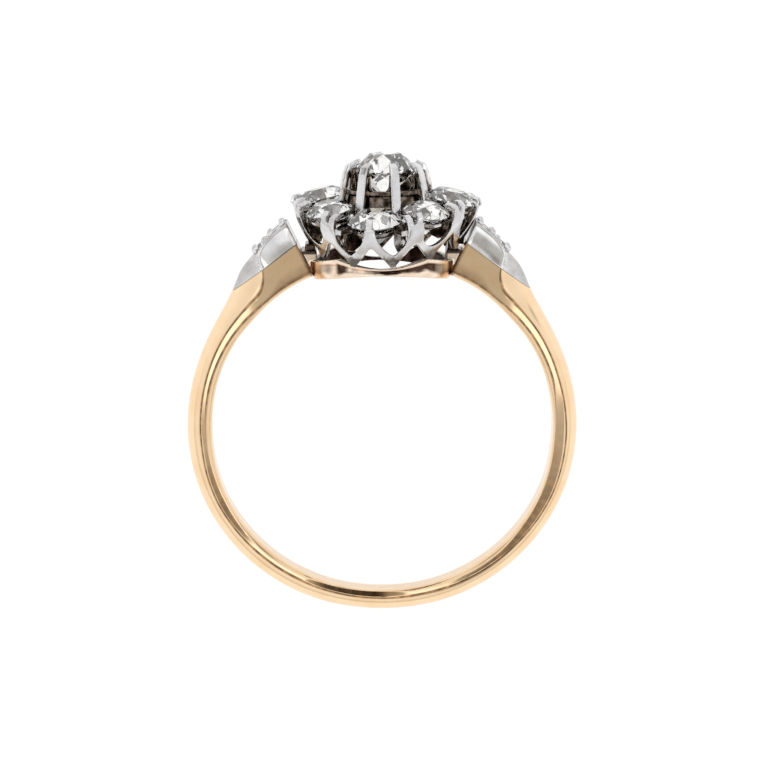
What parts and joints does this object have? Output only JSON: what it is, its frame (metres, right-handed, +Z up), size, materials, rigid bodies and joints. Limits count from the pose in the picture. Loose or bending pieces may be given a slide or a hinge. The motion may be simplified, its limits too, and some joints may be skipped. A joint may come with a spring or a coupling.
{
  "type": "diamond cluster ring",
  "caption": "Cluster ring lying on its side: a domed gold hoop with boxed, platinum topped shoulders, and a pierced platinum coronet of old cut diamonds round a raised centre diamond.",
  "frame": {"origin": "middle of the bounding box at the surface that the ring lies on", "axes": "+Z up from the surface, +Y from the back of the hoop towards the cluster, +X to the right as seen from the side that faces up, which is the front of the ring"},
  "size_m": [0.0194, 0.0228, 0.0094],
  "materials": {
    "yellow_gold": "polished",
    "rose_gold": "polished, with dark tarnish in its hollows",
    "platinum": "polished",
    "diamond": "cut and polished facets"
  },
  "bodies": {
    "root": {"shank": "yellow_gold", "gallery_base": "rose_gold", "cluster_setting": "platinum", "centre_stone": "diamond", "shoulder_plate_left": "platinum", "shoulder_plate_right": "platinum", "shoulder_stone_left_1": "diamond", "shoulder_stone_left_2": "diamond", "shoulder_stone_right_1": "diamond", "shoulder_stone_right_2": "diamond", "outer_stone_1": "diamond", "outer_stone_2": "diamond", "outer_stone_3": "diamond", "outer_stone_4": "diamond", "outer_stone_5": "diamond", "outer_stone_6": "diamond", "outer_stone_7": "diamond", "outer_stone_8": "diamond"}
  },
  "joints": []
}
